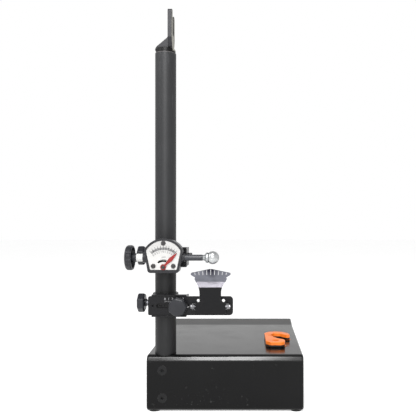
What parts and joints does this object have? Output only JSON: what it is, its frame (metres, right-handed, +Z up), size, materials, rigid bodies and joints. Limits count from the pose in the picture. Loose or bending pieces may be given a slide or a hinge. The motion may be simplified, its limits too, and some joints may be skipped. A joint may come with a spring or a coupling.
{
  "type": "bicycle wheel truing stand",
  "caption": "Single-post bicycle wheel truing stand on a folded steel base, with a slotted axle blade, a sliding dial gauge with a ball contact, and a hinged radial feeler on a slotted bar.",
  "frame": {"origin": "on the bench plane, under the axis of the post", "axes": "+Z up along the post, +X from the post towards the wheel rim and the ball contact, +Y from the front wall to the rear wall"},
  "size_m": [0.2216, 0.2657, 0.514],
  "materials": {
    "base_paint": "gloss black enamel",
    "foot_rubber": "soft black",
    "post_paint": "satin dark grey powder coat",
    "plain_steel": "zinc plated",
    "black_screw": "black oxide",
    "cast_black": "satin black over a casting",
    "bracket_paint": "satin black",
    "brass": "turned",
    "knob_plastic": "fine grained black",
    "housing_black": "satin black over a die casting",
    "dial_white": "printed white plate",
    "dial_screw": "black oxide",
    "pointer_red": "red enamel",
    "white_plastic": "natural acetal",
    "spring_steel": "bright wire",
    "rod_black": "black oxide",
    "ball_chrome": "polished",
    "feeler_steel": "grey plated fan over a black skirt",
    "wrench_orange": "orange dip",
    "wrench_steel": "black oxide"
  },
  "bodies": {
    "stand": {"base_shell": "base_paint", "rear_wall": "base_paint", "foot_pads": "foot_rubber", "post_tube": "post_paint", "post_foot_plug": "plain_steel", "post_screws": "black_screw", "axle_head": "cast_black"},
    "gauge_carriage": {"gauge_collar": "cast_black", "gauge_bracket": "bracket_paint", "gauge_bracket_screws": "black_screw", "gauge_tie_bolt": "black_screw", "gauge_housing": "housing_black", "gauge_face_plate": "dial_white", "gauge_face_screws": "dial_screw", "gauge_housing_screws": "black_screw", "pointer_backing": "pointer_red", "pointer_pivot_screw": "dial_screw", "return_spring": "spring_steel"},
    "gauge_clamp_seat": {"gauge_clamp_pad": "brass"},
    "gauge_clamp": {"gauge_clamp_stud": "plain_steel", "gauge_clamp_knob": "knob_plastic"},
    "pointer": {"pointer": "pointer_red", "pointer_pin": "plain_steel"},
    "plunger": {"plunger_core": "white_plastic"},
    "ball_tip": {"contact_ball": "ball_chrome", "ball_cup": "ball_chrome"},
    "reach_screw": {"reach_rod": "rod_black", "reach_stem": "plain_steel", "reach_knob": "knob_plastic"},
    "radial_carriage": {"radial_collar": "cast_black", "radial_bracket": "bracket_paint", "radial_bracket_screws": "black_screw", "radial_tie_bolt": "black_screw"},
    "radial_clamp_seat": {"radial_clamp_pad": "brass"},
    "radial_clamp": {"radial_clamp_stud": "plain_steel", "radial_clamp_knob": "knob_plastic"},
    "radial_bar": {"radial_bar": "bracket_paint", "feeler_lugs": "bracket_paint", "lug_rivets": "plain_steel", "feeler_hinge_pin": "plain_steel", "hinge_clips": "spring_steel", "feeler_springs": "spring_steel"},
    "bar_clamp_seat": {"bar_clamp_washer": "plain_steel"},
    "bar_clamp": {"bar_clamp_stud": "plain_steel", "bar_clamp_knob": "knob_plastic"},
    "feeler": {"feeler_plate": "feeler_steel"},
    "spoke_wrench": {"wrench_cover_top": "wrench_orange", "wrench_core": "wrench_steel", "wrench_cover_bottom": "wrench_orange"}
  },
  "joints": [
    {"name": "gauge_height", "type": "slide", "parent": "stand", "child": "gauge_carriage", "axis": [0, 0, 1], "range_m": [-0.01, 0.16]},
    {"name": "radial_height", "type": "slide", "parent": "gauge_carriage", "child": "radial_carriage", "axis": [0, 0, 1], "range_m": [-0.03, 0.004]},
    {"name": "gauge_clamp_turn", "type": "hinge", "parent": "gauge_clamp_seat", "child": "gauge_clamp", "pos_m": [-0.0313, 0, 0.1977], "axis": [-1, 0, 0], "range_deg": [-1, 541]},
    {"name": "gauge_clamp_back_off", "type": "slide", "parent": "gauge_carriage", "child": "gauge_clamp_seat", "axis": [-1, 0, 0], "range_m": [0, 0.0015]},
    {"name": "radial_clamp_turn", "type": "hinge", "parent": "radial_clamp_seat", "child": "radial_clamp", "pos_m": [-0.0313, 0, 0.1366], "axis": [-1, 0, 0], "range_deg": [-1, 541]},
    {"name": "radial_clamp_back_off", "type": "slide", "parent": "radial_carriage", "child": "radial_clamp_seat", "axis": [-1, 0, 0], "range_m": [0, 0.0015]},
    {"name": "plunger_travel", "type": "slide", "parent": "gauge_carriage", "child": "plunger", "axis": [1, 0, 0], "range_m": [-0.01153, 0], "stiffness_N_per_m": 300, "springref_m": 0.008, "deforming": ["return_spring"]},
    {"name": "pointer_turn", "type": "hinge", "parent": "gauge_carriage", "child": "pointer", "pos_m": [0.0033, -0.0404, 0.1858], "axis": [0, 1, 0], "range_deg": [-89, 1]},
    {"name": "reach_travel", "type": "slide", "parent": "plunger", "child": "ball_tip", "axis": [1, 0, 0], "range_m": [-0.0121, 0]},
    {"name": "reach_turn", "type": "hinge", "parent": "ball_tip", "child": "reach_screw", "pos_m": [0, -0.0315, 0.1969], "axis": [1, 0, 0], "range_deg": [-4320, 0]},
    {"name": "bar_offset", "type": "slide", "parent": "radial_carriage", "child": "radial_bar", "axis": [1, 0, 0], "range_m": [-0.0034, 0.022]},
    {"name": "bar_clamp_back_off", "type": "slide", "parent": "radial_carriage", "child": "bar_clamp_seat", "axis": [0, -1, 0], "range_m": [0, 0.0015]},
    {"name": "bar_clamp_turn", "type": "hinge", "parent": "bar_clamp_seat", "child": "bar_clamp", "pos_m": [0.0199, -0.031, 0.1358], "axis": [0, -1, 0], "range_deg": [-1, 541]},
    {"name": "feeler_swing", "type": "hinge", "parent": "radial_bar", "child": "feeler", "pos_m": [0.0604, -0.0285, 0.1358], "axis": [1, 0, 0], "range_deg": [-25, 25], "stiffness_Nm_per_rad": 0.06},
    {"name": "wrench_lift", "type": "slide", "parent": "stand", "child": "spoke_wrench", "axis": [0, 0, 1], "range_m": [0, 0.06]}
  ],
  "couplings": [
    {"joint": "gauge_clamp_turn", "follows": "gauge_clamp_back_off", "rad_per_m": 6283.2},
    {"joint": "radial_clamp_turn", "follows": "radial_clamp_back_off", "rad_per_m": 6283.2},
    {"joint": "bar_clamp_turn", "follows": "bar_clamp_back_off", "rad_per_m": 6283.2},
    {"joint": "pointer_turn", "follows": "plunger_travel", "rad_per_m": 133.19},
    {"joint": "reach_travel", "follows": "reach_turn", "m_per_rad": 0.00015915}
  ]
}
